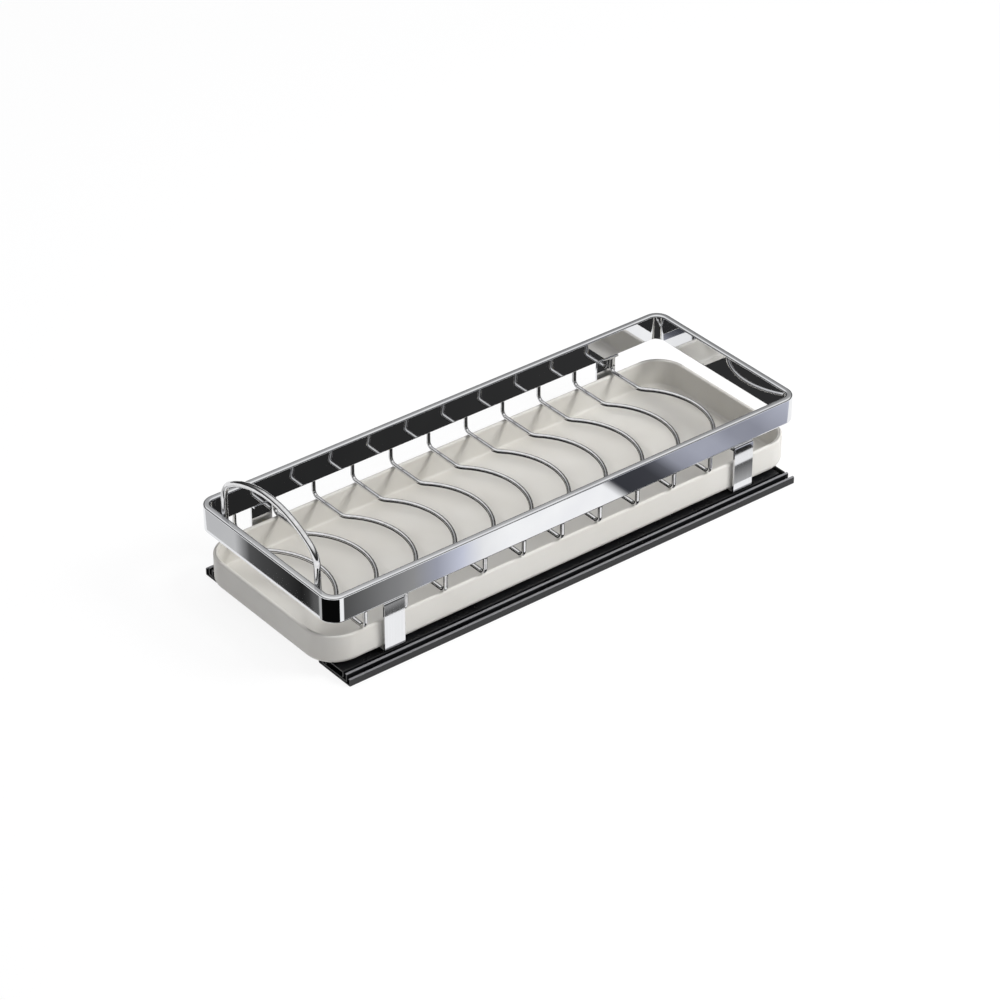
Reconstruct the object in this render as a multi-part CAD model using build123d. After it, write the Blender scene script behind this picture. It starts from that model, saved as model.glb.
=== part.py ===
from build123d import *
import math
import os

# Pull-out rack: a polished band-and-wire basket on two three-part ball slides, over a removable drip tray.
# Millimetres. The front, with the handle, is -Y, and z = 0 is the cabinet floor that the slides are screwed to.

# Rim band
BAND_WIDTH = 194.0
BAND_LENGTH = 522.0
BAND_HEIGHT = 26.0
BAND_THICKNESS = 6.5
BAND_CORNER_RADIUS = 15.0
BAND_EDGE_RADIUS = 1.8
BAND_BOTTOM = 60.5

# Handle, one bent rod welded inside the front of the band
HANDLE_ROD = 6.0
HANDLE_HALF_SPAN = 67.2
HANDLE_ARCH_RADIUS = 105.0
HANDLE_BEND_RADIUS = 21.5
HANDLE_RISE = 50.2
HANDLE_LEG_BELOW_RIM = 22.5
HANDLE_WELD_WIDTH = 2.4
HANDLE_WELD_HEIGHT = 14.0

# Cross wires, bowed towards the back in the middle
WIRE_DIAMETER = 4.0
WIRE_COUNT = 11
WIRE_FIRST_Y = -224.0
WIRE_PITCH = 42.4
WIRE_LEVEL = 44.0
WIRE_LEG_X = 94.9
WIRE_LEG_X_INSIDE_BRACKET = 92.9
WIRE_LEG_BEND_RADIUS = 6.0
WIRE_BOW_RADIUS = 67.7
WIRE_BOW_CENTRE_SETBACK = 44.4
WIRE_BOW_FILLET = 10.0

# Brackets between the band and the slides
BRACKET_GAUGE = 2.0
BRACKET_FRONT_Y = -194.8
BRACKET_REAR_Y = 196.0
BRACKET_FRONT_WIDTH = 21.6
BRACKET_REAR_WIDTH = 22.0
BRACKET_FOOT_INNER_X = 73.0
BRACKET_BEND_RADIUS = 3.0
BRACKET_FOOT_CORNER = 3.0
BRACKET_EDGE_EASING = 0.3

# Countersunk M4 screws and nuts at each bracket foot
SCREW_DIAMETER = 3.9
SCREW_HEAD_DIAMETER = 7.4
SCREW_LENGTH = 7.0
SCREW_X = (78.5, 88.5)
SCREW_CLEARANCE = 0.15
RECESS_LENGTH = 3.6
RECESS_WIDTH = 0.8
RECESS_DEPTH = 1.1
NUT_ACROSS_FLATS = 7.0
NUT_HEIGHT = 3.2
NUT_BORE = 4.1

# Ball slides, laid flat, heights above the floor and half widths from each slide's centre line
SLIDE_X = 83.4
GAUGE = 1.2
LIP_HOOK_GAUGE = 0.9
SECTION_CORNER_RADIUS = 1.0
OUTER_HALF_WIDTH = 22.5
OUTER_LIP_TOP = 7.4
OUTER_HOOK = 1.0
MIDDLE_HALF_WIDTH = 17.7
MIDDLE_WEB_BOTTOM = 2.2
MIDDLE_LIP_TOP = 10.3
MIDDLE_HOOK = 1.0
INNER_HALF_WIDTH = 13.0
INNER_TOP = 10.5
INNER_LIP_BOTTOM = 4.6
INNER_HOOK = 0.8
OUTER_SPAN = (-249.0, 251.0)
MIDDLE_SPAN = (-249.0, 248.0)
INNER_SPAN = (-249.0, 241.0)

# Ball cages
BALLS_PER_ROW = 10
BALL_PITCH = 22.0
CAGE_STRIP = 0.8
CAGE_BRIDGE = 0.4
CAGE_POCKET_CLEARANCE = 0.15
OUTER_BALL_DIAMETER = 3.0
OUTER_BALL_U = 19.5
OUTER_BALL_Z = 4.4
OUTER_CAGE_BOTTOM = 1.5
OUTER_CAGE_TOP = 6.8
OUTER_CAGE_SPAN = (-120.0, 120.0)
INNER_BALL_DIAMETER = 2.9
INNER_BALL_U = 14.75
INNER_BALL_Z = 7.0
INNER_CAGE_BOTTOM = 3.7
INNER_CAGE_TOP = 9.1
INNER_CAGE_SPAN = (-119.0, 112.0)

# Holes for the floor screws, with access holes over them
FLOOR_HOLE_Y = 160.0
FLOOR_HOLE_DIAMETER = 4.5
ACCESS_HOLE_DIAMETER = 9.0

# Rubber stop at the back end of each outer channel
STOP_WIDTH = 20.0
STOP_HEIGHT = 5.5
STOP_GAP = 0.3
STOP_EDGE_RADIUS = 0.8

# Drip tray
TRAY_HALF_WIDTH = 92.5
TRAY_FRONT_Y = -263.0
TRAY_REAR_Y = 263.0
TRAY_CORNER_RADIUS = 30.0
TRAY_BOTTOM_EDGE_RADIUS = 5.5
TRAY_INSIDE_EDGE_RADIUS = 2.4
TRAY_RIM_RADIUS = 1.8
TRAY_WALL = 4.0
TRAY_FLOOR = 2.4
TRAY_RIM_Z = 41.6
TRAY_LIFT = 0.3

# Values worked out from those above
BAND_TOP = BAND_BOTTOM + BAND_HEIGHT
BRACKET_OUTER_X = BAND_WIDTH / 2
BRACKET_FLANGE = BAND_THICKNESS
BRACKET_TOP_UNDERSIDE = BAND_BOTTOM - BRACKET_GAUGE
FOOT_TOP = INNER_TOP + BRACKET_GAUGE
TRAY_BOTTOM = FOOT_TOP + TRAY_LIFT
SIDES = {"left": -1, "right": 1}
ENDS = {"front": (BRACKET_FRONT_Y, BRACKET_FRONT_WIDTH), "rear": (BRACKET_REAR_Y, BRACKET_REAR_WIDTH)}
WIRE_YS = [WIRE_FIRST_Y + WIRE_PITCH * i for i in range(WIRE_COUNT)]
SCREW_PLACES = [(side * x, y) for side in SIDES.values() for y, _ in ENDS.values() for x in SCREW_X]
# How far a cut reaches past the faces it cuts through, and how near two numbers are the same
PAST = 1.0
NEAR = 0.01


def extruded_along_y(section, span):
    """A section drawn as x and z, carried from the first y of a span to the second."""
    start, end = span
    return extrude(Plane.XZ.offset(-start) * section, amount=start - end)


def mirrored_outline(half):
    """A closed face from the points of its x >= 0 half, listed from the centre line round to it again."""
    return make_face(Polyline(*half, *[(-x, z) for x, z in reversed(half)], close=True))


def upright_hole(x, y, low, high, diameter):
    """The cylinder to cut for an upright hole, a little past both faces."""
    height = high - low + 2 * PAST
    return Pos(x, y, (low + high) / 2) * Cylinder(diameter / 2, height)


def arc_about(centre, start, end):
    """An arc of less than half a turn round a centre."""
    centre = Vector(*centre)
    start = Vector(*start)
    end = Vector(*end)
    towards_middle = ((start + end) * 0.5 - centre).normalized()
    return ThreePointArc(start, centre + towards_middle * (start - centre).length, end)


def round_rod(edges, diameter):
    """A round rod swept along edges that meet tangentially."""
    path = Wire(edges)
    return sweep(Plane(path @ 0, z_dir=path % 0) * Circle(diameter / 2), path=path)


def rim_band():
    """Flat bar bent into a rounded rectangle on edge, its four long edges eased."""
    inner_width = BAND_WIDTH - 2 * BAND_THICKNESS
    inner_length = BAND_LENGTH - 2 * BAND_THICKNESS
    outline = RectangleRounded(BAND_WIDTH, BAND_LENGTH, BAND_CORNER_RADIUS)
    outline -= RectangleRounded(inner_width, inner_length, BAND_CORNER_RADIUS - BAND_THICKNESS)
    band = extrude(Pos(0, 0, BAND_BOTTOM) * outline, amount=BAND_HEIGHT)
    rims = band.edges().group_by(Axis.Z)
    return fillet(rims[0] + rims[-1], BAND_EDGE_RADIUS)


def handle():
    """Rod with upright legs, rounded shoulders and an arch, and the weld that joins each leg to the band."""
    inner_face = -BAND_LENGTH / 2 + BAND_THICKNESS
    y = inner_face + HANDLE_ROD / 2
    foot_z = BAND_TOP - HANDLE_LEG_BELOW_RIM
    peak_z = BAND_TOP + HANDLE_RISE
    arch_centre_z = peak_z - HANDLE_ARCH_RADIUS
    bend_x = HANDLE_HALF_SPAN - HANDLE_BEND_RADIUS
    bend_distance = HANDLE_ARCH_RADIUS - HANDLE_BEND_RADIUS
    bend_z = arch_centre_z + math.sqrt(bend_distance**2 - bend_x**2)
    stretch = HANDLE_ARCH_RADIUS / bend_distance
    shoulder_x = bend_x * stretch
    shoulder_z = arch_centre_z + (bend_z - arch_centre_z) * stretch
    edges = [
        Line((-HANDLE_HALF_SPAN, y, foot_z), (-HANDLE_HALF_SPAN, y, bend_z)),
        arc_about((-bend_x, y, bend_z), (-HANDLE_HALF_SPAN, y, bend_z), (-shoulder_x, y, shoulder_z)),
        arc_about((0, y, arch_centre_z), (-shoulder_x, y, shoulder_z), (shoulder_x, y, shoulder_z)),
        arc_about((bend_x, y, bend_z), (shoulder_x, y, shoulder_z), (HANDLE_HALF_SPAN, y, bend_z)),
        Line((HANDLE_HALF_SPAN, y, bend_z), (HANDLE_HALF_SPAN, y, foot_z)),
    ]
    rod = round_rod(edges, HANDLE_ROD)
    weld = Box(HANDLE_WELD_WIDTH, HANDLE_ROD / 2, HANDLE_WELD_HEIGHT)
    weld_z = (BAND_BOTTOM + BAND_TOP) / 2
    for side in SIDES.values():
        rod += Pos(side * HANDLE_HALF_SPAN, (inner_face + y) / 2, weld_z) * weld
    return rod


def cross_wire(y, leg, leg_top, joined_to):
    """Wire with upright legs and a middle bowed in plan, its leg ends shaped to what they are welded to."""
    bend = WIRE_LEG_BEND_RADIUS
    z = WIRE_LEVEL
    bow_y = y - WIRE_BOW_CENTRE_SETBACK
    centres_apart = WIRE_BOW_RADIUS + WIRE_BOW_FILLET
    straight_end = math.sqrt(centres_apart**2 - (WIRE_BOW_CENTRE_SETBACK + WIRE_BOW_FILLET) ** 2)
    share = WIRE_BOW_RADIUS / centres_apart
    join_x = straight_end * share
    join_y = bow_y + (WIRE_BOW_CENTRE_SETBACK + WIRE_BOW_FILLET) * share
    halves = {}
    for side in SIDES.values():
        leg_foot = (side * leg, y, z + bend)
        bend_centre = (side * (leg - bend), y, z + bend)
        straight_start = (side * (leg - bend), y, z)
        bow_start = (side * straight_end, y, z)
        fillet_centre = (side * straight_end, y + WIRE_BOW_FILLET, z)
        halves[side] = [
            Line((side * leg, y, leg_top), leg_foot),
            arc_about(bend_centre, leg_foot, straight_start),
            Line(straight_start, bow_start),
            arc_about(fillet_centre, bow_start, (side * join_x, join_y, z)),
        ]
    bow = arc_about((0, bow_y, z), (-join_x, join_y, z), (join_x, join_y, z))
    wire = round_rod([*halves[-1], bow, *reversed(halves[1])], WIRE_DIAMETER)
    for neighbour in joined_to:
        wire -= neighbour
    return wire


def countersink(x, y):
    """The cut for one flush screw through a bracket foot."""
    bore = SCREW_DIAMETER / 2 + SCREW_CLEARANCE
    cone = Cone(bore, SCREW_HEAD_DIAMETER / 2 + SCREW_CLEARANCE, BRACKET_GAUGE)
    return Pos(x, y, INNER_TOP + BRACKET_GAUGE / 2) * cone


def bracket(side, centre_y, width):
    """Strip bent in at the top, under the band, and in at the bottom, as a foot on the slide."""
    outside = BRACKET_OUTER_X
    inside = outside - BRACKET_GAUGE
    outline = Polyline(
        (outside - BRACKET_FLANGE, BAND_BOTTOM),
        (outside, BAND_BOTTOM),
        (outside, INNER_TOP),
        (BRACKET_FOOT_INNER_X, INNER_TOP),
        (BRACKET_FOOT_INNER_X, FOOT_TOP),
        (inside, FOOT_TOP),
        (inside, BRACKET_TOP_UNDERSIDE),
        (outside - BRACKET_FLANGE, BRACKET_TOP_UNDERSIDE),
        close=True,
    )
    section = make_face(outline)
    outer_bends = section.vertices().group_by(Axis.X)[-1]
    section = fillet(outer_bends, BRACKET_BEND_RADIUS)
    inner_bends = [v for v in section.vertices() if abs(v.X - inside) < NEAR]
    section = fillet(inner_bends, BRACKET_BEND_RADIUS - BRACKET_GAUGE)
    strip = extruded_along_y(section, (centre_y - width / 2, centre_y + width / 2))
    foot_corners = strip.edges().filter_by(Axis.Z).group_by(Axis.X)[0]
    strip = fillet(foot_corners, BRACKET_FOOT_CORNER)
    for x in SCREW_X:
        strip -= countersink(x, centre_y)
    return strip if side > 0 else mirror(strip, about=Plane.YZ)


def bracket_screws():
    """Countersunk screws with a cross recess, flush with the feet."""
    head = Pos(0, 0, -BRACKET_GAUGE / 2) * Cone(SCREW_DIAMETER / 2, SCREW_HEAD_DIAMETER / 2, BRACKET_GAUGE)
    shank_length = SCREW_LENGTH - BRACKET_GAUGE
    shank = Pos(0, 0, -BRACKET_GAUGE - shank_length / 2) * Cylinder(SCREW_DIAMETER / 2, shank_length)
    slot = Pos(0, 0, -RECESS_DEPTH / 2) * Box(RECESS_LENGTH, RECESS_WIDTH, RECESS_DEPTH)
    screw = head + shank - slot - Rot(0, 0, 90) * slot
    return Compound(children=[Pos(x, y, FOOT_TOP) * screw for x, y in SCREW_PLACES])


def bracket_nuts():
    """Hexagon nuts under the inner channels' webs."""
    outline = RegularPolygon(NUT_ACROSS_FLATS / 2, 6, major_radius=False) - Circle(NUT_BORE / 2)
    nut = extrude(outline, amount=NUT_HEIGHT)
    bottom = INNER_TOP - GAUGE - NUT_HEIGHT
    return Compound(children=[Pos(x, y, bottom) * nut for x, y in SCREW_PLACES])


def channel(side, half_width, web_face, lip_end, hook, span):
    """Rolled channel with hooked lips, which stand up where lip_end is above web_face and else hang down."""
    way = math.copysign(1, lip_end - web_face)
    inside = half_width - GAUGE
    web_inside = web_face + way * GAUGE
    hook_inside = lip_end - way * LIP_HOOK_GAUGE
    section = mirrored_outline(
        [
            (half_width, web_face),
            (half_width, lip_end),
            (inside - hook, lip_end),
            (inside - hook, hook_inside),
            (inside, hook_inside),
            (inside, web_inside),
        ]
    )
    outer_corners = [v for v in section.vertices() if abs(abs(v.X) - half_width) < NEAR]
    section = fillet(outer_corners, SECTION_CORNER_RADIUS)
    return Pos(side * SLIDE_X, 0, 0) * extruded_along_y(section, span)


def drilled(piece, side, low, high, diameter):
    """A channel with the two holes in line with the floor screws."""
    for y in (-FLOOR_HOLE_Y, FLOOR_HOLE_Y):
        piece -= upright_hole(side * SLIDE_X, y, low, high, diameter)
    return piece


def outer_channel(side):
    """The fixed part of a slide, screwed to the floor."""
    piece = channel(side, OUTER_HALF_WIDTH, 0.0, OUTER_LIP_TOP, OUTER_HOOK, OUTER_SPAN)
    return drilled(piece, side, 0.0, GAUGE, FLOOR_HOLE_DIAMETER)


def middle_channel(side):
    """The part of a slide that runs out half as far as the basket."""
    piece = channel(side, MIDDLE_HALF_WIDTH, MIDDLE_WEB_BOTTOM, MIDDLE_LIP_TOP, MIDDLE_HOOK, MIDDLE_SPAN)
    return drilled(piece, side, MIDDLE_WEB_BOTTOM, MIDDLE_WEB_BOTTOM + GAUGE, ACCESS_HOLE_DIAMETER)


def inner_channel(side):
    """The part of a slide that carries the brackets, its lips hanging down."""
    piece = channel(side, INNER_HALF_WIDTH, INNER_TOP, INNER_LIP_BOTTOM, INNER_HOOK, INNER_SPAN)
    web_bottom = INNER_TOP - GAUGE
    piece = drilled(piece, side, web_bottom, INNER_TOP, ACCESS_HOLE_DIAMETER)
    for x, y in SCREW_PLACES:
        if x * side > 0:
            piece -= upright_hole(x, y, web_bottom, INNER_TOP, SCREW_DIAMETER + 2 * SCREW_CLEARANCE)
    return piece


def ball_ys(span):
    """Where the balls of a row lie, centred in their cage."""
    start, end = span
    first = (start + end) / 2 - BALL_PITCH * (BALLS_PER_ROW - 1) / 2
    return [first + BALL_PITCH * i for i in range(BALLS_PER_ROW)]


def ball_cage(side, ball_u, ball_z, ball_diameter, bottom, top, span):
    """Two pierced strips, one for each row of balls, joined by a thin bridge under them."""
    outside = ball_u + CAGE_STRIP / 2
    inside = ball_u - CAGE_STRIP / 2
    bridge_top = bottom + CAGE_BRIDGE
    section = mirrored_outline([(outside, bottom), (outside, top), (inside, top), (inside, bridge_top)])
    cage = extruded_along_y(section, span)
    pocket = Rot(0, 90, 0) * Cylinder(ball_diameter / 2 + CAGE_POCKET_CLEARANCE, 2 * (outside + PAST))
    cage -= [Pos(0, y, ball_z) * pocket for y in ball_ys(span)]
    return Pos(side * SLIDE_X, 0, 0) * cage


def ball_rows(side, ball_u, ball_z, ball_diameter, span):
    """The balls of both rows of one cage."""
    ball = Sphere(ball_diameter / 2)
    balls = []
    for u in (-ball_u, ball_u):
        for y in ball_ys(span):
            balls.append(Pos(side * SLIDE_X + u, y, ball_z) * ball)
    return Compound(children=balls)


def rear_stop(side):
    """Rubber block on the web, just behind the middle channel's end."""
    start = MIDDLE_SPAN[1] + STOP_GAP
    end = OUTER_SPAN[1]
    middle = Pos(side * SLIDE_X, (start + end) / 2, GAUGE + STOP_HEIGHT / 2)
    block = middle * Box(STOP_WIDTH, end - start, STOP_HEIGHT)
    return fillet(block.edges().group_by(Axis.Z)[-1], STOP_EDGE_RADIUS)


def drip_tray():
    """Moulded tray with rounded corners, a soft bottom edge and a round rim."""
    width = 2 * TRAY_HALF_WIDTH
    length = TRAY_REAR_Y - TRAY_FRONT_Y
    middle_y = (TRAY_REAR_Y + TRAY_FRONT_Y) / 2
    height = TRAY_RIM_Z - TRAY_BOTTOM
    outside = extrude(RectangleRounded(width, length, TRAY_CORNER_RADIUS), amount=height)
    outside = fillet(outside.edges().group_by(Axis.Z)[0], TRAY_BOTTOM_EDGE_RADIUS)
    inner_radius = TRAY_CORNER_RADIUS - TRAY_WALL
    inner_outline = RectangleRounded(width - 2 * TRAY_WALL, length - 2 * TRAY_WALL, inner_radius)
    inside = extrude(Pos(0, 0, TRAY_FLOOR) * inner_outline, amount=height)
    inside = fillet(inside.edges().group_by(Axis.Z)[0], TRAY_INSIDE_EDGE_RADIUS)
    tray = outside - inside
    tray = fillet(tray.edges().group_by(Axis.Z)[-1], TRAY_RIM_RADIUS)
    return Pos(0, middle_y, TRAY_BOTTOM) * tray


def slide_parts(name, side):
    """The pieces of one slide, by node name."""
    outer_row = (OUTER_BALL_U, OUTER_BALL_Z, OUTER_BALL_DIAMETER)
    inner_row = (INNER_BALL_U, INNER_BALL_Z, INNER_BALL_DIAMETER)
    return {
        f"{name}_outer_channel": outer_channel(side),
        f"{name}_middle_channel": middle_channel(side),
        f"{name}_inner_channel": inner_channel(side),
        f"{name}_outer_cage": ball_cage(side, *outer_row, OUTER_CAGE_BOTTOM, OUTER_CAGE_TOP, OUTER_CAGE_SPAN),
        f"{name}_outer_balls": ball_rows(side, *outer_row, OUTER_CAGE_SPAN),
        f"{name}_inner_cage": ball_cage(side, *inner_row, INNER_CAGE_BOTTOM, INNER_CAGE_TOP, INNER_CAGE_SPAN),
        f"{name}_inner_balls": ball_rows(side, *inner_row, INNER_CAGE_SPAN),
        f"{name}_rear_stop": rear_stop(side),
    }


def wires(band, rear_brackets):
    """All the cross wires. The one at the rear brackets stands inside them and ends at their top flanges."""
    reach = BRACKET_REAR_WIDTH / 2
    parts = {}
    for number, y in enumerate(WIRE_YS, start=1):
        if abs(y - BRACKET_REAR_Y) < reach:
            wire = cross_wire(y, WIRE_LEG_X_INSIDE_BRACKET, BRACKET_TOP_UNDERSIDE, rear_brackets)
        else:
            wire = cross_wire(y, WIRE_LEG_X, BAND_BOTTOM + BAND_EDGE_RADIUS, [band])
        parts[f"cross_wire_{number:02d}"] = wire
    return parts


def all_parts():
    """Every node's solid, by node name."""
    band = rim_band()
    parts = {"rim_band": band, "handle": handle(), "drip_tray": drip_tray()}
    for name, side in SIDES.items():
        parts.update(slide_parts(name, side))
        for end, (centre_y, width) in ENDS.items():
            parts[f"{end}_{name}_bracket"] = bracket(side, centre_y, width)
    parts["bracket_screws"] = bracket_screws()
    parts["bracket_nuts"] = bracket_nuts()
    parts.update(wires(band, [parts["rear_left_bracket"], parts["rear_right_bracket"]]))
    return parts


os.makedirs("parts", exist_ok=True)
for node, shape in all_parts().items():
    export_step(shape, f"parts/{node}.step")
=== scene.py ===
import bmesh
import bpy
import math
from mathutils import Matrix, Vector


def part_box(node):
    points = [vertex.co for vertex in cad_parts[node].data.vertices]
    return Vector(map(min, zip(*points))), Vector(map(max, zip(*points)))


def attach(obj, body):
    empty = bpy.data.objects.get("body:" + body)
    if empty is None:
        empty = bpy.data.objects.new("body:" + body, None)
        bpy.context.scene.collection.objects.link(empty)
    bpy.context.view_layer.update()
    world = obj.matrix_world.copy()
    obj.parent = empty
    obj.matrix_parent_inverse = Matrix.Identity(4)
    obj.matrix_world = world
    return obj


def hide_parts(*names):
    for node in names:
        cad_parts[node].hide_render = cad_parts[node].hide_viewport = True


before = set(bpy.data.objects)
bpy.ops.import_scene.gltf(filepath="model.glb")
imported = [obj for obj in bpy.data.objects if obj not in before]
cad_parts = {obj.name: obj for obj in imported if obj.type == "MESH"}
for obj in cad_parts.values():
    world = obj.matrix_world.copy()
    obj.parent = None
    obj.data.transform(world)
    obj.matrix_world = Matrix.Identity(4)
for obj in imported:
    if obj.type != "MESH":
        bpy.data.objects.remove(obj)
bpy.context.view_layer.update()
bpy.ops.object.select_all(action="DESELECT")

# Sizes are metres. MM turns a real size in millimetres into them.
MM = 0.001

# Bar, rod and wire sizes that the frame's boxes don't give
BAND_GAUGE = 6.5 * MM
BAND_CORNER = 15.0 * MM
BAND_EDGE = 1.8 * MM
HANDLE_ROD = 6.0 * MM
HANDLE_BEND = 21.5 * MM
HANDLE_ARCH = 105.0 * MM
WIRE = 4.0 * MM
WIRE_LEG_BEND = 6.0 * MM
WIRE_BOW = 67.7 * MM
WIRE_BOW_SETBACK = 44.4 * MM
WIRE_BOW_FILLET = 10.0 * MM
WELD_FLARE = 1.3
WELD_HEIGHT = 1.4 * MM

# Moulded tray
TRAY_CORNER = 30.0 * MM
TRAY_WALL = 4.0 * MM
TRAY_FLOOR = 2.4 * MM
TRAY_BOTTOM_EDGE = 5.5 * MM
TRAY_INSIDE_EDGE = 2.4 * MM
TRAY_RIM_EDGE = 1.8 * MM

# Broken edges of the rolled channels and the brackets
CHANNEL_EDGE = 0.15 * MM
BRACKET_EDGE = 0.2 * MM

# Roundness of the modelled pieces: segments to a rounded edge, sides to a rod, degrees to a step of a bend
BAND_CORNER_SEGMENTS = 16
BAND_EDGE_SEGMENTS = 6
TRAY_CORNER_SEGMENTS = 24
TRAY_BOTTOM_SEGMENTS = 8
TRAY_INSIDE_SEGMENTS = 6
TRAY_RIM_SEGMENTS = 5
BROKEN_EDGE_SEGMENTS = 2
ROD_SIDES = 32
BEND_STEP = 6.0

# How near two points count as one, how much of a direction is its Z when it counts as upright or level, and
# from which angle an edge counts as bent, sharp or square
MERGE = 0.01 * MM
UPRIGHT = 0.99
LEVEL = 0.01
FLAT_ANGLE = math.radians(0.6)
SHARP_ANGLE = math.radians(38)
SQUARE_ANGLE = math.radians(60)
FACE_WEIGHT = 100

# Thickness and heights of the cards that gloss reflects
CARD = 0.2 * MM
ON_FLOOR = 0.3 * MM
OVER_FLOOR_CARDS = 0.6 * MM
OVER_SLIDES = 12.0 * MM
STANDING_TOP = 60.0 * MM
CORNER_BOTTOM = 1.0 * MM

# Where the cards before the front side stand, and where the corner's card meets the next one
FRONT_CARDS_Y = -301.0 * MM
FRONT_EDGE_X = 63.0 * MM

# The camera, recovered from the photograph
CAMERA_AZIMUTH = math.radians(51.53)
CAMERA_ELEVATION = math.radians(33.42)
CAMERA_DISTANCE = 3.0967
CAMERA_AIM = Vector((0.0640, -0.0561, 0.0865))
CAMERA_LENS = 130.06


def linear(code):
    """An sRGB hex colour as linear red, green, blue and alpha."""
    channels = [int(code[i : i + 2], 16) / 255 for i in (1, 3, 5)]
    return (*[c / 12.92 if c <= 0.04045 else ((c + 0.055) / 1.055) ** 2.4 for c in channels], 1.0)


def feed(tree, node, inputs):
    """Links the node's inputs to other nodes' outputs, or gives them values."""
    for key, value in inputs.items():
        if isinstance(value, bpy.types.NodeSocket):
            tree.links.new(value, node.inputs[key])
        else:
            node.inputs[key].default_value = value


def add_node(tree, kind, inputs=None, stops=None, **settings):
    """Adds a shader node with its settings, input values or links, and colour stops."""
    made = tree.nodes.new(kind)
    for name, value in settings.items():
        setattr(made, name, value)
    feed(tree, made, inputs or {})
    for number, (place, colour) in enumerate(stops or []):
        # A new ramp already has two stops.
        elements = made.color_ramp.elements
        element = elements[number] if number < 2 else elements.new(place)
        element.position = place
        element.color = colour
    return made


def grey(value):
    """A neutral colour at a linear level."""
    return (value, value, value, 1.0)


def cool(value):
    """A dark tone with the blue of a studio wall, at a linear level."""
    return (value * 0.93, value * 0.96, value * 1.12, 1.0)


def new_material(name):
    """A material with its node tree, its shader and the place on the object that its patterns start from."""
    material = bpy.data.materials.new(name)
    material.use_nodes = True
    tree = material.node_tree
    place = add_node(tree, "ShaderNodeTexCoord").outputs["Object"]
    return material, tree, tree.nodes["Principled BSDF"], place


def polished_stainless_bar():
    """Polished 304 stainless flat bar: near-mirror, with faint lines along the bar where the wheel ran."""
    material, tree, shader, place = new_material("polished_stainless_bar")
    # The wheel lines are coarser than real ones, so that they show at this distance.
    line_gap = 0.8 * MM
    line_length = 250 * MM
    patch = 45.45 * MM
    stretched = add_node(
        tree, "ShaderNodeMapping",
        {"Vector": place, "Scale": (1 / line_length, 1 / line_length, 1 / line_gap)},
    )
    lines = add_node(
        tree, "ShaderNodeTexNoise", {"Vector": stretched.outputs["Vector"], "Scale": 1.0, "Detail": 3.0}
    )
    patches = add_node(tree, "ShaderNodeTexNoise", {"Vector": place, "Scale": 1 / patch, "Detail": 2.0})
    both = add_node(
        tree, "ShaderNodeMath", {0: lines.outputs["Fac"], 1: patches.outputs["Fac"]}, operation="MULTIPLY"
    )
    rough = add_node(
        tree, "ShaderNodeMapRange",
        {"Value": both.outputs["Value"], "From Min": 0.1, "From Max": 0.45, "To Min": 0.02, "To Max": 0.05},
    )
    bump = add_node(
        tree, "ShaderNodeBump", {"Height": lines.outputs["Fac"], "Strength": 0.01, "Distance": 0.02 * MM}
    )
    tint = add_node(
        tree, "ShaderNodeValToRGB", {"Fac": patches.outputs["Fac"]},
        stops=[(0.35, linear("#e2e3e6")), (0.7, linear("#eaebec"))],
    )
    feed(tree, shader, {
        "Base Color": tint.outputs["Color"], "Roughness": rough.outputs["Result"],
        "Normal": bump.outputs["Normal"], "Metallic": 1.0,
    })
    return material


def electropolished_wire():
    """Electropolished stainless rod: bright, with soft ripples from bending that are slightly darker."""
    material, tree, shader, place = new_material("electropolished_wire")
    ripple = 3.846 * MM
    ripples = add_node(tree, "ShaderNodeTexNoise", {"Vector": place, "Scale": 1 / ripple, "Detail": 2.0})
    rough = add_node(
        tree, "ShaderNodeMapRange",
        {"Value": ripples.outputs["Fac"], "From Min": 0.3, "From Max": 0.7, "To Min": 0.03, "To Max": 0.07},
    )
    bump = add_node(
        tree, "ShaderNodeBump", {"Height": ripples.outputs["Fac"], "Strength": 0.03, "Distance": 0.05 * MM}
    )
    tint = add_node(
        tree, "ShaderNodeValToRGB", {"Fac": ripples.outputs["Fac"]},
        stops=[(0.3, linear("#d5d5d6")), (0.65, linear("#e6e6e7"))],
    )
    feed(tree, shader, {
        "Base Color": tint.outputs["Color"], "Roughness": rough.outputs["Result"],
        "Normal": bump.outputs["Normal"], "Metallic": 1.0,
    })
    return material


def bright_rolled_strip():
    """Bright-rolled stainless strip: mirror-like with a fine upright grain from the rolls."""
    material, tree, shader, place = new_material("bright_rolled_strip")
    # The grain is coarser than the real one, so that it shows.
    grain_width = 1.111 * MM
    grain_length = 166.7 * MM
    stretched = add_node(
        tree, "ShaderNodeMapping",
        {"Vector": place, "Scale": (1 / grain_width, 1 / grain_width, 1 / grain_length)},
    )
    grain = add_node(
        tree, "ShaderNodeTexNoise", {"Vector": stretched.outputs["Vector"], "Scale": 1.0, "Detail": 2.0}
    )
    rough = add_node(
        tree, "ShaderNodeMapRange",
        {"Value": grain.outputs["Fac"], "From Min": 0.3, "From Max": 0.7, "To Min": 0.04, "To Max": 0.08},
    )
    bump = add_node(
        tree, "ShaderNodeBump", {"Height": grain.outputs["Fac"], "Strength": 0.012, "Distance": 0.02 * MM}
    )
    tint = add_node(
        tree, "ShaderNodeValToRGB", {"Fac": grain.outputs["Fac"]},
        stops=[(0.3, linear("#e5e6e8")), (0.7, linear("#eaebed"))],
    )
    feed(tree, shader, {
        "Base Color": tint.outputs["Color"], "Roughness": rough.outputs["Result"],
        "Normal": bump.outputs["Normal"], "Metallic": 1.0,
    })
    return material


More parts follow.
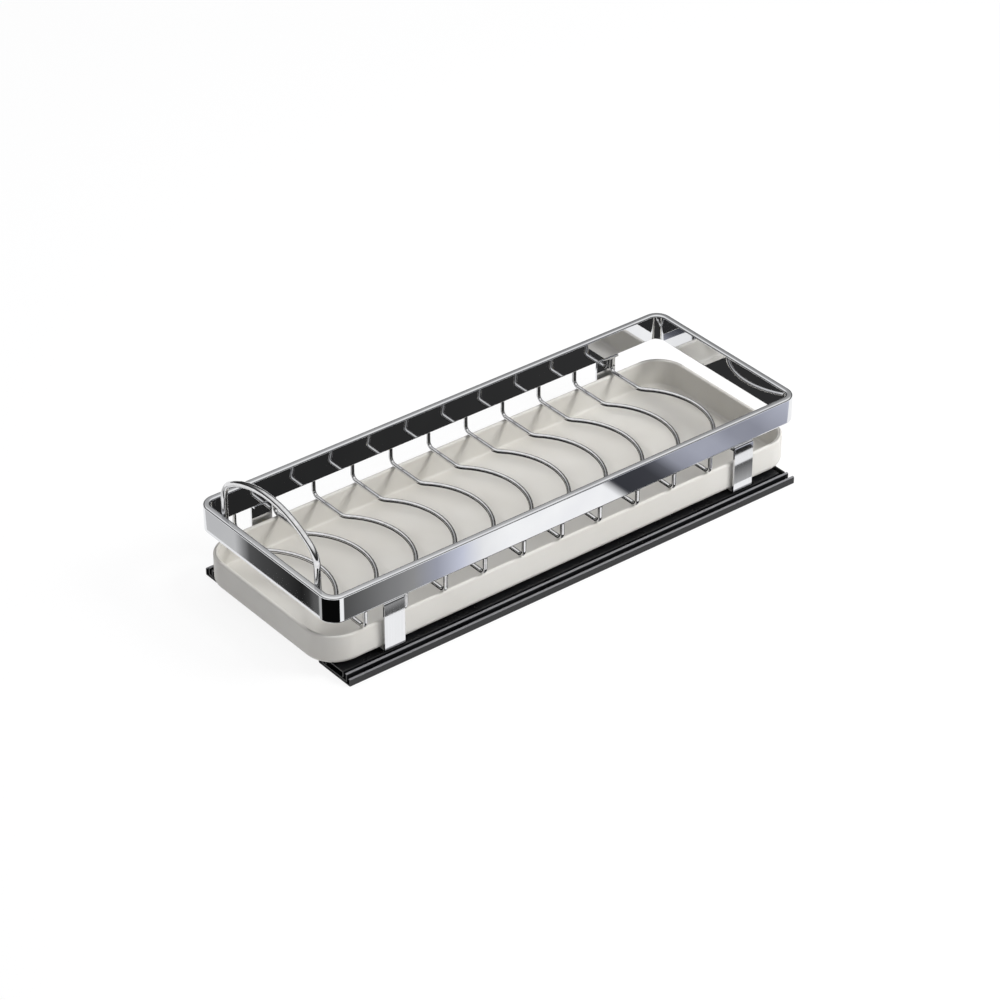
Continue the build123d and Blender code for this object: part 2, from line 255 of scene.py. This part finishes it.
def milky_polypropylene():
    """Injection-moulded polypropylene: milky warm grey, waxy, with a fine spark-eroded texture."""
    material, tree, shader, place = new_material("milky_polypropylene")
    cloud = 71.43 * MM
    # The texture's grains are about twice the real ones, so that they show.
    grain = 0.7143 * MM
    clouds = add_node(tree, "ShaderNodeTexNoise", {"Vector": place, "Scale": 1 / cloud, "Detail": 3.0})
    tint = add_node(
        tree, "ShaderNodeValToRGB", {"Fac": clouds.outputs["Fac"]},
        stops=[(0.3, linear("#d7d4cd")), (0.7, linear("#dfddd7"))],
    )
    grains = add_node(tree, "ShaderNodeTexNoise", {"Vector": place, "Scale": 1 / grain, "Detail": 2.0})
    rough = add_node(
        tree, "ShaderNodeMapRange",
        {"Value": grains.outputs["Fac"], "From Min": 0.3, "From Max": 0.7, "To Min": 0.38, "To Max": 0.52},
    )
    bump = add_node(
        tree, "ShaderNodeBump", {"Height": grains.outputs["Fac"], "Strength": 0.10, "Distance": 0.05 * MM}
    )
    feed(tree, shader, {
        "Base Color": tint.outputs["Color"], "Roughness": rough.outputs["Result"],
        "Normal": bump.outputs["Normal"], "IOR": 1.49, "Subsurface Weight": 0.12,
        "Subsurface Radius": (4 * MM, 4 * MM, 3.5 * MM), "Subsurface Scale": 1.0,
    })
    return material


def black_electrocoat(name, lip_top=None):
    """Cold-rolled steel, black electrocoat: satin black, slight orange peel, with a painted highlight in grey
    along the lips' tops.
    """
    material, tree, shader, place = new_material(name)
    dimple = 1.111 * MM
    smear = 28.57 * MM
    highlight_fade_depth = 0.8 * MM
    highlight_full_depth = 0.2 * MM
    peel = add_node(tree, "ShaderNodeTexNoise", {"Vector": place, "Scale": 1 / dimple, "Detail": 2.0})
    smears = add_node(tree, "ShaderNodeTexNoise", {"Vector": place, "Scale": 1 / smear, "Detail": 4.0})
    coat = add_node(
        tree, "ShaderNodeValToRGB", {"Fac": smears.outputs["Fac"]},
        stops=[(0.35, linear("#0c0c0e")), (0.75, linear("#151618"))],
    ).outputs["Color"]
    if lip_top:
        # Painted highlight: the lips' tops turn grey towards the top, in place of the glint that light gives
        # their rounded edges.
        height = add_node(tree, "ShaderNodeSeparateXYZ", {"Vector": place}).outputs["Z"]
        lip_highlight = add_node(
            tree, "ShaderNodeMapRange",
            {
                "Value": height, "From Min": lip_top - highlight_fade_depth, "From Max": lip_top - highlight_full_depth,
                "To Max": 0.9,
            },
        )
        coat = add_node(
            tree, "ShaderNodeMixRGB",
            {"Fac": lip_highlight.outputs["Result"], "Color1": coat, "Color2": linear("#8b8b8e")},
        ).outputs["Color"]
    rough = add_node(
        tree, "ShaderNodeMapRange",
        {"Value": smears.outputs["Fac"], "From Min": 0.3, "From Max": 0.7, "To Min": 0.24, "To Max": 0.34},
    )
    bump = add_node(
        tree, "ShaderNodeBump", {"Height": peel.outputs["Fac"], "Strength": 0.08, "Distance": 0.04 * MM}
    )
    feed(tree, shader, {
        "Base Color": coat, "Roughness": rough.outputs["Result"], "Normal": bump.outputs["Normal"],
        "IOR": 1.45,
    })
    return material


def greased_bearing_steel():
    """Ground chrome-steel balls under a thin coat of grease: bright with a yellowish, uneven film."""
    material, tree, shader, place = new_material("greased_bearing_steel")
    smear = 2.381 * MM
    film = add_node(tree, "ShaderNodeTexNoise", {"Vector": place, "Scale": 1 / smear, "Detail": 2.0})
    tint = add_node(
        tree, "ShaderNodeValToRGB", {"Fac": film.outputs["Fac"]},
        stops=[(0.35, linear("#b9ab86")), (0.6, linear("#c9cacc"))],
    )
    feed(tree, shader, {"Base Color": tint.outputs["Color"], "Metallic": 1.0, "Roughness": 0.18})
    return material


def moulded_acetal():
    """Injection-moulded black acetal: satin, with a faint flow pattern."""
    material, tree, shader, place = new_material("moulded_acetal")
    swirl = 5.556 * MM
    flow = add_node(tree, "ShaderNodeTexNoise", {"Vector": place, "Scale": 1 / swirl, "Detail": 3.0})
    tint = add_node(
        tree, "ShaderNodeValToRGB", {"Fac": flow.outputs["Fac"]},
        stops=[(0.3, linear("#1b1b1c")), (0.7, linear("#262627"))],
    )
    feed(tree, shader, {"Base Color": tint.outputs["Color"], "Roughness": 0.45})
    return material


def vulcanised_rubber():
    """Vulcanised black rubber: matt and dusty grey where it has bloomed."""
    material, tree, shader, place = new_material("vulcanised_rubber")
    spot = 3.125 * MM
    bloom = add_node(tree, "ShaderNodeTexNoise", {"Vector": place, "Scale": 1 / spot, "Detail": 4.0})
    tint = add_node(
        tree, "ShaderNodeValToRGB", {"Fac": bloom.outputs["Fac"]},
        stops=[(0.35, linear("#141414")), (0.75, linear("#2b2b2a"))],
    )
    feed(tree, shader, {"Base Color": tint.outputs["Color"], "Roughness": 0.85})
    return material


def zinc_plate():
    """Bright zinc-plated steel: cool silver with a faint blue-yellow passivation bloom."""
    material, tree, shader, place = new_material("zinc_plate")
    spot = 2 * MM
    bloom = add_node(tree, "ShaderNodeTexNoise", {"Vector": place, "Scale": 1 / spot, "Detail": 2.0})
    tint = add_node(
        tree, "ShaderNodeValToRGB", {"Fac": bloom.outputs["Fac"]},
        stops=[(0.3, linear("#b9bfc6")), (0.7, linear("#cfccc0"))],
    )
    feed(tree, shader, {"Base Color": tint.outputs["Color"], "Metallic": 1.0, "Roughness": 0.28})
    return material


def add_block(low, high):
    """A block between two corners, with its place in its mesh, open for editing."""
    bpy.ops.mesh.primitive_cube_add(size=1, location=(low + high) / 2, scale=high - low)
    bpy.ops.object.transform_apply(location=True, rotation=True, scale=True)
    bpy.ops.object.mode_set(mode="EDIT")
    return bpy.context.object


def pick_edges(accepts):
    """Selects only the edges whose middle and direction a test accepts."""
    bpy.ops.mesh.select_mode(type="EDGE")
    bpy.ops.mesh.select_all(action="DESELECT")
    mesh = bmesh.from_edit_mesh(bpy.context.object.data)
    for edge in mesh.edges:
        first, last = (v.co for v in edge.verts)
        if accepts((first + last) / 2, (last - first).normalized()):
            edge.select_set(True)
    bmesh.update_edit_mesh(bpy.context.object.data)


def pick_faces(accepts):
    """Selects only the faces whose middle and normal a test accepts."""
    bpy.ops.mesh.select_mode(type="FACE")
    bpy.ops.mesh.select_all(action="DESELECT")
    mesh = bmesh.from_edit_mesh(bpy.context.object.data)
    for face in mesh.faces:
        if accepts(face.calc_center_median(), face.normal):
            face.select_set(True)
    bmesh.update_edit_mesh(bpy.context.object.data)


def upright(middle, direction):
    """Accepts the edges that stand."""
    return abs(direction.z) > UPRIGHT


def round_off(radius, segments):
    """Rounds the selected edges."""
    bpy.ops.mesh.bevel(offset=radius, segments=segments, affect="EDGES")


def apply_modifier(piece, kind, **settings):
    """Adds a modifier to the piece and applies it."""
    modifier = piece.modifiers.new(kind.title(), kind)
    for name, value in settings.items():
        setattr(modifier, name, value)
    bpy.context.view_layer.objects.active = piece
    bpy.ops.object.modifier_apply(modifier=modifier.name)


def break_edges(piece, width, segments, angle):
    """Rounds every edge of the piece that is sharper than an angle."""
    apply_modifier(piece, "BEVEL", width=width, segments=segments, limit_method="ANGLE", angle_limit=angle)


def smooth(piece):
    """Smooth shading that keeps flat faces flat beside rounded edges."""
    bpy.ops.object.select_all(action="DESELECT")
    piece.select_set(True)
    bpy.context.view_layer.objects.active = piece
    bpy.ops.object.shade_smooth_by_angle(angle=SHARP_ANGLE)
    apply_modifier(piece, "WEIGHTED_NORMAL", weight=FACE_WEIGHT, keep_sharp=True)


def hand_over(piece, name, body, material, node):
    """Names a finished piece, gives it its finish, and puts it in place of its CAD node."""
    piece.name = name
    piece.data.name = name
    piece.data.materials.clear()
    piece.data.materials.append(material)
    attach(piece, body)
    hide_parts(node)
    bpy.ops.object.select_all(action="DESELECT")


def start_rod(x, y, z, diameter):
    """A round end face, looking down or up, that is then run and turned into a rod."""
    bpy.ops.mesh.primitive_circle_add(
        vertices=ROD_SIDES, radius=diameter / 2, fill_type="NGON", location=(x, y, z)
    )
    bpy.ops.object.transform_apply(location=True, rotation=True, scale=True)
    bpy.ops.object.mode_set(mode="EDIT")
    bpy.ops.mesh.select_mode(type="FACE")
    bpy.ops.mesh.select_all(action="SELECT")
    return bpy.context.object


def run(x, y, z):
    """Extrudes the selected face, such as a rod's end, straight."""
    bpy.ops.mesh.extrude_region_move(TRANSFORM_OT_translate={"value": (x, y, z)})


def turn(centre, axis, degrees):
    """Spins the rod's end round a centre by the right-hand rule. The operator's own angle goes against it."""
    steps = max(4, round(abs(degrees) / BEND_STEP))
    bpy.ops.mesh.spin(steps=steps, angle=-math.radians(degrees), center=centre, axis=axis)


def swell(factor, centre):
    """Widens or narrows the rod's upright end."""
    bpy.ops.transform.resize(value=(factor, factor, 1), center_override=centre)


def finish_rod(rod):
    """Points the rod's faces outwards and smooths it."""
    bpy.ops.mesh.select_all(action="SELECT")
    bpy.ops.mesh.remove_doubles(threshold=MERGE)
    bpy.ops.mesh.normals_make_consistent(inside=False)
    bpy.ops.object.mode_set(mode="OBJECT")
    smooth(rod)
    return rod


def rim_bar():
    """Flat bar on edge, bent round four corners: a rounded block, opened at both ends and given a gauge."""
    low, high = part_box("rim_band")
    bar = add_block(low, high)
    pick_edges(upright)
    round_off(BAND_CORNER, BAND_CORNER_SEGMENTS)
    pick_faces(lambda middle, normal: abs(normal.z) > UPRIGHT)
    bpy.ops.mesh.delete(type="FACE")
    bpy.ops.object.mode_set(mode="OBJECT")
    apply_modifier(bar, "SOLIDIFY", thickness=BAND_GAUGE, offset=-1, use_even_offset=True)
    break_edges(bar, BAND_EDGE, BAND_EDGE_SEGMENTS, SQUARE_ANGLE)
    smooth(bar)
    return bar


def handle_rod():
    """Rod turned through two rounded shoulders into an arch."""
    low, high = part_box("handle")
    radius = HANDLE_ROD / 2
    y = (low.y + high.y) / 2
    half_span = high.x - radius
    peak = high.z - radius
    arch_z = peak - HANDLE_ARCH
    bend_x = half_span - HANDLE_BEND
    bend_z = arch_z + math.sqrt((HANDLE_ARCH - HANDLE_BEND) ** 2 - bend_x**2)
    shoulder = math.degrees(math.atan2(bend_z - arch_z, bend_x))
    rod = start_rod(-half_span, y, low.z, HANDLE_ROD)
    run(0, 0, bend_z - low.z)
    turn((-bend_x, y, bend_z), (0, 1, 0), shoulder)
    turn((0, y, arch_z), (0, 1, 0), 180 - 2 * shoulder)
    turn((bend_x, y, bend_z), (0, 1, 0), shoulder)
    run(0, 0, low.z - bend_z)
    return finish_rod(rod)


def cross_wire(node):
    """Wire bent down, across and up, its middle bowed to the back, with a weld flare at each leg's end."""
    low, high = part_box(node)
    radius = WIRE / 2
    leg = high.x - radius
    y = low.y + radius
    z = low.z + radius
    top = high.z
    bend = WIRE_LEG_BEND
    apart = WIRE_BOW + WIRE_BOW_FILLET
    straight_end = math.sqrt(apart**2 - (WIRE_BOW_SETBACK + WIRE_BOW_FILLET) ** 2)
    veer = math.degrees(math.asin(straight_end / apart))
    wire = start_rod(-leg, y, top, WIRE * WELD_FLARE)
    run(0, 0, -WELD_HEIGHT)
    swell(1 / WELD_FLARE, (-leg, y, top - WELD_HEIGHT))
    run(0, 0, z + bend - top + WELD_HEIGHT)
    turn((-leg + bend, y, z + bend), (0, 1, 0), -90)
    run(leg - bend - straight_end, 0, 0)
    turn((-straight_end, y + WIRE_BOW_FILLET, z), (0, 0, 1), veer)
    turn((0, y - WIRE_BOW_SETBACK, z), (0, 0, 1), -2 * veer)
    turn((straight_end, y + WIRE_BOW_FILLET, z), (0, 0, 1), veer)
    run(leg - bend - straight_end, 0, 0)
    turn((leg - bend, y, z + bend), (0, 1, 0), -90)
    run(0, 0, top - WELD_HEIGHT - z - bend)
    run(0, 0, WELD_HEIGHT)
    swell(WELD_FLARE, (leg, y, top))
    return finish_rod(wire)


def cross_wires(material):
    """One wire, copied to each place, and the last one, whose legs are shorter, modelled alone."""
    nodes = sorted(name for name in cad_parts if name.startswith("cross_wire"))
    first = cross_wire(nodes[0])
    first_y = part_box(nodes[0])[0].y
    for node in nodes[1:-1]:
        copy = first.copy()
        copy.data = first.data.copy()
        copy.data.transform(Matrix.Translation((0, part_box(node)[0].y - first_y, 0)))
        bpy.context.scene.collection.objects.link(copy)
        hand_over(copy, node + "_bent", "basket", material, node)
    hand_over(first, nodes[0] + "_bent", "basket", material, nodes[0])
    last = cross_wire(nodes[-1])
    hand_over(last, nodes[-1] + "_bent", "basket", material, nodes[-1])


def moulded_tray():
    """Block hollowed from the top, with round corners, a soft bottom edge and a rounded rim."""
    low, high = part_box("drip_tray")
    floor_z = low.z + TRAY_FLOOR
    tray = add_block(low, high)
    pick_edges(upright)
    round_off(TRAY_CORNER, TRAY_CORNER_SEGMENTS)
    pick_faces(lambda middle, normal: normal.z > UPRIGHT)
    bpy.ops.mesh.inset(thickness=TRAY_WALL, use_even_offset=True)
    run(0, 0, floor_z - high.z)
    pick_edges(lambda middle, direction: middle.z < low.z + MERGE)
    round_off(TRAY_BOTTOM_EDGE, TRAY_BOTTOM_SEGMENTS)
    pick_edges(lambda middle, direction: abs(middle.z - floor_z) < MERGE and abs(direction.z) < LEVEL)
    round_off(TRAY_INSIDE_EDGE, TRAY_INSIDE_SEGMENTS)
    pick_edges(lambda middle, direction: middle.z > high.z - MERGE)
    round_off(TRAY_RIM_EDGE, TRAY_RIM_SEGMENTS)
    bpy.ops.object.mode_set(mode="OBJECT")
    smooth(tray)
    return tray


def tidied_copy(node, edge):
    """The node's own shape as a new piece, its triangles merged into whole faces and its edges broken."""
    piece = bpy.data.objects.new(node + "_tidied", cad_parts[node].data.copy())
    bpy.context.scene.collection.objects.link(piece)
    bpy.ops.object.select_all(action="DESELECT")
    piece.select_set(True)
    bpy.context.view_layer.objects.active = piece
    bpy.ops.mesh.customdata_custom_splitnormals_clear()
    bpy.ops.object.mode_set(mode="EDIT")
    bpy.ops.mesh.select_all(action="SELECT")
    bpy.ops.mesh.remove_doubles(threshold=MERGE)
    bpy.ops.mesh.dissolve_limited(angle_limit=FLAT_ANGLE)
    bpy.ops.object.mode_set(mode="OBJECT")
    break_edges(piece, edge, BROKEN_EDGE_SEGMENTS, SHARP_ANGLE)
    smooth(piece)
    return piece


def carry(node, material):
    """A CAD node that stays as it is gets its finish."""
    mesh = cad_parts[node].data
    mesh.materials.clear()
    mesh.materials.append(material)


def slides(acetal, balls, rubber):
    """Both ball slides: rolled channels with broken edges, and the cages, balls and stops inside them."""
    bodies = {"outer": "cabinet_channels", "inner": "basket"}
    coats = {"inner": black_electrocoat("black_electrocoat")}
    # The outer and middle channels' coats carry the painted highlight along their lips.
    for member in ("outer", "middle"):
        lip_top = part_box(f"right_{member}_channel")[1].z
        coats[member] = black_electrocoat(f"black_electrocoat_{member}_lips", lip_top)
    for side in ("left", "right"):
        bodies["middle"] = side + "_middle_member"
        for member in ("outer", "middle", "inner"):
            node = f"{side}_{member}_channel"
            piece = tidied_copy(node, CHANNEL_EDGE)
            hand_over(piece, node + "_rolled", bodies[member], coats[member], node)
        for member in ("outer", "inner"):
            carry(f"{side}_{member}_cage", acetal)
            carry(f"{side}_{member}_balls", balls)
        carry(side + "_rear_stop", rubber)


def brackets(strip):
    """The four bent strips that carry the band."""
    for end in ("front", "rear"):
        for side in ("left", "right"):
            node = f"{end}_{side}_bracket"
            piece = tidied_copy(node, BRACKET_EDGE)
            hand_over(piece, node + "_bent", "basket", strip, node)


def light_panel(name, place, aim, size, power):
    """A square soft box, aimed at a point."""
    lamp = bpy.data.lights.new(name, "AREA")
    lamp.size = size
    lamp.energy = power
    panel = bpy.data.objects.new(name, lamp)
    panel.visible_glossy = False
    panel.location = place
    panel.rotation_euler = (Vector(aim) - Vector(place)).to_track_quat("-Z", "Y").to_euler()
    bpy.context.scene.collection.objects.link(panel)


def bare_tree(owner):
    """The node tree of a material or the world, emptied."""
    owner.use_nodes = True
    owner.node_tree.nodes.clear()
    return owner.node_tree


def set_on_stage(piece, name, material):
    """Names a piece of the studio and gives it its material."""
    piece.name = name
    piece.data.materials.append(material)
    bpy.ops.object.select_all(action="DESELECT")


def ends(stops):
    """Where a card's tones start and end."""
    return (stops[0][0], stops[-1][0])


def reflection_card(name, low, high, axis, stops):
    """A thin card that only metal and gloss see, lying or standing, its tone changing along one axis."""
    material = bpy.data.materials.new(name)
    tree = bare_tree(material)
    place = add_node(tree, "ShaderNodeTexCoord").outputs["Object"]
    parts = add_node(tree, "ShaderNodeSeparateXYZ", {"Vector": place})
    start, end = ends(stops)
    along = add_node(
        tree, "ShaderNodeMapRange", {"Value": parts.outputs[axis], "From Min": start, "From Max": end}
    )
    tones = add_node(
        tree, "ShaderNodeValToRGB", {"Fac": along.outputs["Result"]},
        stops=[((at - start) / (end - start), tone) for at, tone in stops],
    )
    glow = add_node(tree, "ShaderNodeEmission", {"Color": tones.outputs["Color"], "Strength": 1.0})
    add_node(tree, "ShaderNodeOutputMaterial", {"Surface": glow.outputs["Emission"]})
    card = add_block(Vector(low), Vector(high))
    bpy.ops.object.mode_set(mode="OBJECT")
    card.visible_camera = False
    card.visible_diffuse = False
    card.visible_transmission = False
    card.visible_shadow = False
    set_on_stage(card, name, material)


def lying_card(name, x, y, bottom, axis, stops):
    """A card that lies level, between two places along X and two along Y."""
    reflection_card(name, (x[0], y[0], bottom), (x[1], y[1], bottom + CARD), axis, stops)


def card_along_y(name, x, y, bottom, stops):
    """A card that stands along Y, its middle at x."""
    reflection_card(name, (x - CARD / 2, y[0], bottom), (x + CARD / 2, y[1], STANDING_TOP), "Y", stops)


def card_along_x(name, x, y, bottom, stops):
    """A card that stands along X, its middle at y."""
    reflection_card(name, (x[0], y - CARD / 2, bottom), (x[1], y + CARD / 2, STANDING_TOP), "X", stops)


def even(tone):
    """Stops that give a card one tone all over, wherever it lies within a metre of the middle."""
    return [(-1.0, tone), (1.0, tone)]


def studio_floor():
    """Plain pale floor: white to the eye and to gloss, with the object's soft shadow."""
    span = 14.0
    white_strength = 1.08
    white_share = 0.82
    material = bpy.data.materials.new("studio_floor")
    tree = bare_tree(material)
    path = add_node(tree, "ShaderNodeLightPath")
    seen = add_node(
        tree, "ShaderNodeMath",
        {0: path.outputs["Is Camera Ray"], 1: path.outputs["Is Glossy Ray"]}, operation="MAXIMUM",
    )
    seen = add_node(
        tree, "ShaderNodeMath",
        {0: seen.outputs["Value"], 1: path.outputs["Is Transmission Ray"]}, operation="MAXIMUM",
    )
    paper = add_node(tree, "ShaderNodeBsdfDiffuse", {"Color": grey(0.75)})
    white = add_node(tree, "ShaderNodeEmission", {"Color": grey(1.0), "Strength": white_strength})
    share = add_node(
        tree, "ShaderNodeMath", {0: seen.outputs["Value"], 1: white_share}, operation="MULTIPLY"
    )
    mixed = add_node(
        tree, "ShaderNodeMixShader",
        {"Fac": share.outputs["Value"], 1: paper.outputs["BSDF"], 2: white.outputs["Emission"]},
    )
    add_node(tree, "ShaderNodeOutputMaterial", {"Surface": mixed.outputs["Shader"]})
    bpy.ops.mesh.primitive_plane_add(size=span, location=(0, 0, 0))
    set_on_stage(bpy.context.object, "studio_floor", material)


def studio_sky():
    """White behind the object, an even soft light on it, and a sky for gloss that is dark at the horizon."""
    world = bpy.data.worlds.new("studio_sky")
    bpy.context.scene.world = world
    tree = bare_tree(world)
    path = add_node(tree, "ShaderNodeLightPath")
    direction = add_node(tree, "ShaderNodeTexCoord").outputs["Generated"]
    height = add_node(tree, "ShaderNodeSeparateXYZ", {"Vector": direction}).outputs["Z"]
    dome = add_node(
        tree, "ShaderNodeValToRGB", {"Fac": height},
        stops=[
            (0.0, grey(0.02)), (0.20, grey(0.03)), (0.45, grey(0.10)), (0.55, grey(0.45)),
            (0.66, grey(0.85)), (0.9, grey(0.95)),
        ],
    )
    gloss_sky = add_node(tree, "ShaderNodeBackground", {"Color": dome.outputs["Color"], "Strength": 1.0})
    soft_light = add_node(tree, "ShaderNodeBackground", {"Color": linear("#fbfbff"), "Strength": 0.41})
    backdrop = add_node(tree, "ShaderNodeBackground", {"Color": grey(1.0), "Strength": 1.0})
    lit = add_node(
        tree, "ShaderNodeMixShader",
        {
            "Fac": path.outputs["Is Glossy Ray"], 1: soft_light.outputs["Background"],
            2: gloss_sky.outputs["Background"],
        },
    )
    through = add_node(
        tree, "ShaderNodeMath",
        {0: path.outputs["Is Camera Ray"], 1: path.outputs["Is Transmission Ray"]}, operation="MAXIMUM",
    )
    shown = add_node(
        tree, "ShaderNodeMixShader",
        {"Fac": through.outputs["Value"], 1: lit.outputs["Shader"], 2: backdrop.outputs["Background"]},
    )
    add_node(tree, "ShaderNodeOutputWorld", {"Surface": shown.outputs["Shader"]})


def side_cards():
    """Cards that the long sides, their brackets and the wires' legs reflect."""
    along_floor = [
        (-0.100, grey(1.10)), (0.112, grey(1.10)), (0.124, cool(0.05)), (0.160, cool(0.06)),
        (0.175, cool(0.13)), (0.190, cool(0.36)), (0.215, cool(0.47)), (0.240, cool(0.46)),
        (0.262, cool(0.36)), (0.288, cool(0.35)), (0.310, cool(0.46)), (0.350, cool(0.60)),
        (0.450, cool(0.75)),
    ]
    by_front_foot = [(0.151, grey(0.10)), (0.156, grey(0.14)), (0.166, grey(0.38)), (0.170, grey(0.45))]
    by_rear_foot = [
        (0.120, grey(0.45)), (0.142, grey(0.10)), (0.1435, grey(0.97)), (0.155, grey(0.97)),
        (0.156, grey(0.02)), (0.168, grey(0.03)),
    ]
    dark = even(grey(0.008))
    near_x = 0.158
    far_x = 0.60
    beside_slide = (0.1062, 0.136)
    before_front_foot = (-0.310, -0.206)
    between_feet = (-0.125, 0.172)
    at_front_foot = (-0.175, -0.115)
    at_rear_foot = (0.205, 0.264)
    lying_card("card_right", (near_x, far_x), ends(along_floor), ON_FLOOR, "Y", along_floor)
    lying_card("card_left", (-far_x, -near_x), ends(along_floor), ON_FLOOR, "Y", along_floor)
    lying_card("card_front_wires", beside_slide, before_front_foot, OVER_SLIDES, "X", dark)
    lying_card("card_wires", beside_slide, between_feet, OVER_SLIDES, "X", dark)
    lying_card("card_by_front_foot", ends(by_front_foot), at_front_foot, ON_FLOOR, "X", by_front_foot)
    lying_card("card_by_rear_foot", ends(by_rear_foot), at_rear_foot, OVER_FLOOR_CARDS, "X", by_rear_foot)


def corner_cards():
    """Standing cards round the front right corner, for that corner and the long side next to it."""
    corner_x = 0.137
    edge_y = -0.250
    side_bottom = 0.0275
    by_corner = [
        (edge_y, grey(1.05)), (-0.228, grey(1.05)), (-0.222, grey(0.080)), (-0.195, grey(0.155)),
        (-0.171, grey(0.24)), (-0.145, grey(0.32)), (-0.120, cool(0.42)), (-0.092, cool(0.72)),
        (-0.069, grey(1.00)), (-0.040, grey(1.10)), (-0.030, grey(1.10)),
    ]
    black = even(grey(0.003))
    card_along_y("card_by_corner", corner_x, ends(by_corner), side_bottom, by_corner)
    card_along_y("card_corner_side", corner_x, (FRONT_CARDS_Y, edge_y), CORNER_BOTTOM, black)
    front_span = (FRONT_EDGE_X, corner_x - CARD / 2)
    card_along_x("card_corner_front", front_span, FRONT_CARDS_Y, CORNER_BOTTOM, black)


def front_card():
    """A standing card that the front side reflects."""
    bottom = 0.015
    before = [
        (-0.300, grey(0.62)), (-0.100, grey(0.60)), (-0.088, grey(0.30)), (-0.078, grey(0.10)),
        (-0.060, grey(0.07)), (-0.030, grey(0.045)), (0.000, grey(0.018)), (0.010, grey(0.04)),
        (0.018, grey(0.11)), (0.024, grey(0.12)), (0.027, grey(0.50)), (0.058, grey(0.50)),
        (0.060, grey(0.012)), (FRONT_EDGE_X, grey(0.012)),
    ]
    card_along_x("card_before", ends(before), FRONT_CARDS_Y, bottom, before)


def inside_card():
    """A dark card over the tray's floor that only gloss sees: painted shade in the reflections on the band's
    inner sides.
    """
    half_width = 0.080
    inside = [(-0.240, grey(0.02)), (0.240, grey(0.035))]
    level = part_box("drip_tray")[0].z + TRAY_FLOOR + ON_FLOOR
    lying_card("card_inside", (-half_width, half_width), ends(inside), level, "Y", inside)


def studio():
    """Floor, sky, soft boxes and the cards that shape the reflections on the upright faces."""
    studio_floor()
    studio_sky()
    side_cards()
    corner_cards()
    front_card()
    inside_card()
    aim = (0.0, 0.0, 0.05)
    light_panel("key_panel", (1.20, 0.95, 1.45), aim, size=0.8, power=32)
    light_panel("top_panel", (-0.3, 0.2, 1.9), aim, size=1.4, power=8)


def camera():
    """The photograph's view."""
    around = math.cos(CAMERA_ELEVATION)
    back = Vector(
        (math.sin(CAMERA_AZIMUTH) * around, -math.cos(CAMERA_AZIMUTH) * around, math.sin(CAMERA_ELEVATION))
    )
    lens = bpy.data.cameras.new("camera")
    lens.lens = CAMERA_LENS
    eye = bpy.data.objects.new("camera", lens)
    eye.location = CAMERA_AIM + back * CAMERA_DISTANCE
    eye.rotation_euler = (-back).to_track_quat("-Z", "Y").to_euler()
    bpy.context.scene.collection.objects.link(eye)
    bpy.context.scene.camera = eye


camera()
studio()

bar_finish = polished_stainless_bar()
wire_finish = electropolished_wire()
strip_finish = bright_rolled_strip()
zinc_finish = zinc_plate()

hand_over(rim_bar(), "rim_bar", "basket", bar_finish, "rim_band")
hand_over(handle_rod(), "handle_rod", "basket", wire_finish, "handle")
cross_wires(wire_finish)
hand_over(moulded_tray(), "moulded_tray", "tray", milky_polypropylene(), "drip_tray")
brackets(strip_finish)
slides(moulded_acetal(), greased_bearing_steel(), vulcanised_rubber())
carry("bracket_screws", zinc_finish)
carry("bracket_nuts", zinc_finish)

bpy.context.scene.view_settings.view_transform = "Standard"
